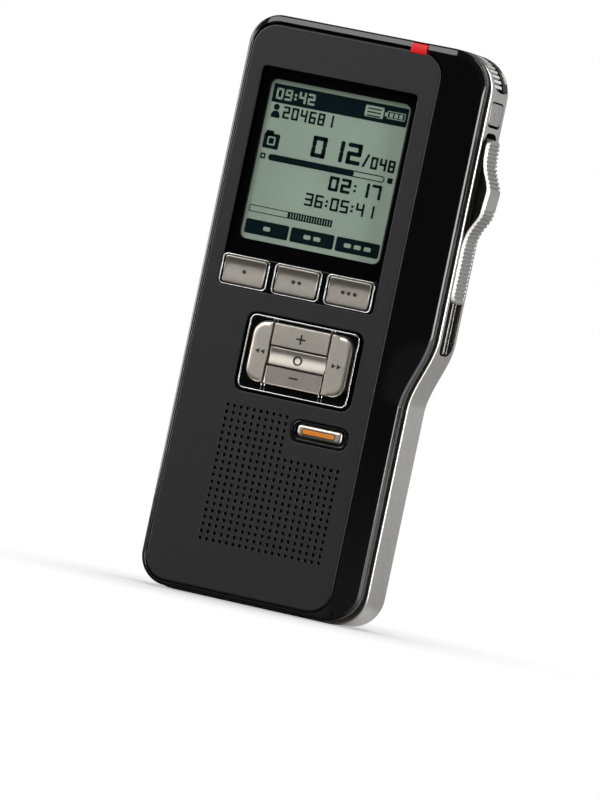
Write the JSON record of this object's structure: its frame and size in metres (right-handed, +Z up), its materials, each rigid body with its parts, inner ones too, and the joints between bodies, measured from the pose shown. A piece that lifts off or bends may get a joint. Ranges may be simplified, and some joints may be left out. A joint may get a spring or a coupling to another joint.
{
  "type": "handheld voice recorder",
  "caption": "Slim upright recorder with a stepped side, front display, soft keys, five-key pad, perforated speaker area, slide switch on the right edge and hinged battery cover.",
  "frame": {"origin": "middle of the flat bottom face that the recorder stands on", "axes": "+Z up along the recorder's length, -Y out of the front panel, +X to the right seen from the front"},
  "size_m": [0.0532, 0.0179, 0.1135],
  "materials": {
    "gloss_case": "high gloss black",
    "charcoal_panel": "fine satin charcoal anodising",
    "silver_frame": "satin silver",
    "matt_case": "fine spark texture, black",
    "window": "clear lens with a black border",
    "display": "grey-green display glass",
    "holder": "matt black",
    "chrome_trim": "bright",
    "champagne_key": "fine metallic",
    "gloss_bezel": "gloss black",
    "orange_inlay": "gloss orange",
    "red_lens": "translucent red",
    "black_part": "matt black",
    "silver_part": "satin",
    "steel_part": "plain",
    "board": "green solder mask",
    "flex": "amber film",
    "silicone": "translucent silicone",
    "cloth": "black acoustic cloth",
    "cell_wrap": "printed sleeve",
    "label": "blank satin label"
  },
  "bodies": {
    "case": {"front_shell": "gloss_case", "front_panel": "charcoal_panel", "side_frame": "silver_frame", "rear_shell": "matt_case", "display_window": "window", "display_module": "display", "display_holder": "holder", "function_key_bezel": "chrome_trim", "nav_bezel": "gloss_bezel", "erase_bezel": "gloss_bezel", "record_light": "red_lens", "mic_grille": "chrome_trim", "microphone": "silver_part", "slide_track": "gloss_bezel", "slide_switch_body": "black_part", "new_switch": "black_part", "hold_switch_body": "black_part", "keypad_membrane": "silicone", "key_domes": "steel_part", "key_board": "board", "main_board": "board", "io_board": "board", "board_flex": "flex", "processor_shield": "steel_part", "speaker": "black_part", "speaker_cloth": "cloth", "ear_jack": "black_part", "mic_jack": "black_part", "usb_port": "steel_part", "dock_connector": "black_part", "strap_bar": "chrome_trim", "battery_tray": "black_part", "battery_left": "cell_wrap", "battery_right": "cell_wrap", "battery_bridge": "steel_part", "battery_terminals": "steel_part", "cover_hinge_pin": "steel_part", "card_slot": "steel_part", "memory_card": "black_part", "door_hinge_pin": "steel_part", "rating_plate": "label", "case_screws": "steel_part"},
    "slide_switch": {"slide_knob": "silver_frame", "slide_carrier": "black_part"},
    "new_file_button": {"new_button": "silver_frame"},
    "hold_switch": {"hold_knob": "silver_frame"},
    "f1": {"f1_key": "champagne_key"},
    "f2": {"f2_key": "champagne_key"},
    "f3": {"f3_key": "champagne_key"},
    "plus": {"plus_key": "champagne_key"},
    "minus": {"minus_key": "champagne_key"},
    "ok": {"ok_key": "champagne_key"},
    "rewind": {"rewind_key": "champagne_key"},
    "forward": {"forward_key": "champagne_key"},
    "erase": {"erase_button": "champagne_key", "erase_inlay": "orange_inlay"},
    "back_cover": {"battery_cover": "matt_case"},
    "release_button": {"cover_release": "silver_frame"},
    "side_door": {"card_door": "silver_frame"}
  },
  "joints": [
    {"name": "slide_switch_move", "type": "slide", "parent": "case", "child": "slide_switch", "axis": [0, 0, 1], "range_m": [-0.0096, 0.0009]},
    {"name": "new_file_press", "type": "slide", "parent": "case", "child": "new_file_button", "axis": [-1, 0, 0], "range_m": [0, 0.0004]},
    {"name": "hold_switch_move", "type": "slide", "parent": "case", "child": "hold_switch", "axis": [0, 0, 1], "range_m": [0, 0.0023]},
    {"name": "f1_press", "type": "slide", "parent": "case", "child": "f1", "axis": [0, 1, 0], "range_m": [0, 0.0003]},
    {"name": "f2_press", "type": "slide", "parent": "case", "child": "f2", "axis": [0, 1, 0], "range_m": [0, 0.0003]},
    {"name": "f3_press", "type": "slide", "parent": "case", "child": "f3", "axis": [0, 1, 0], "range_m": [0, 0.0003]},
    {"name": "plus_press", "type": "slide", "parent": "case", "child": "plus", "axis": [0, 1, 0], "range_m": [0, 0.0003]},
    {"name": "minus_press", "type": "slide", "parent": "case", "child": "minus", "axis": [0, 1, 0], "range_m": [0, 0.0003]},
    {"name": "ok_press", "type": "slide", "parent": "case", "child": "ok", "axis": [0, 1, 0], "range_m": [0, 0.0003]},
    {"name": "rewind_press", "type": "slide", "parent": "case", "child": "rewind", "axis": [0, 1, 0], "range_m": [0, 0.0003]},
    {"name": "forward_press", "type": "slide", "parent": "case", "child": "forward", "axis": [0, 1, 0], "range_m": [0, 0.0003]},
    {"name": "erase_press", "type": "slide", "parent": "case", "child": "erase", "axis": [0, 1, 0], "range_m": [0, 0.0003]},
    {"name": "back_cover_hinge", "type": "hinge", "parent": "case", "child": "back_cover", "pos_m": [-0.0018, 0.0072, 0.01], "axis": [-1, 0, 0], "range_deg": [0, 95]},
    {"name": "release_press", "type": "slide", "parent": "case", "child": "release_button", "axis": [0, -1, 0], "range_m": [0, 0.0005]},
    {"name": "side_door_hinge", "type": "hinge", "parent": "case", "child": "side_door", "pos_m": [-0.0239, 0.0034, 0.0732], "axis": [0, 0, -1], "range_deg": [0, 95]}
  ]
}
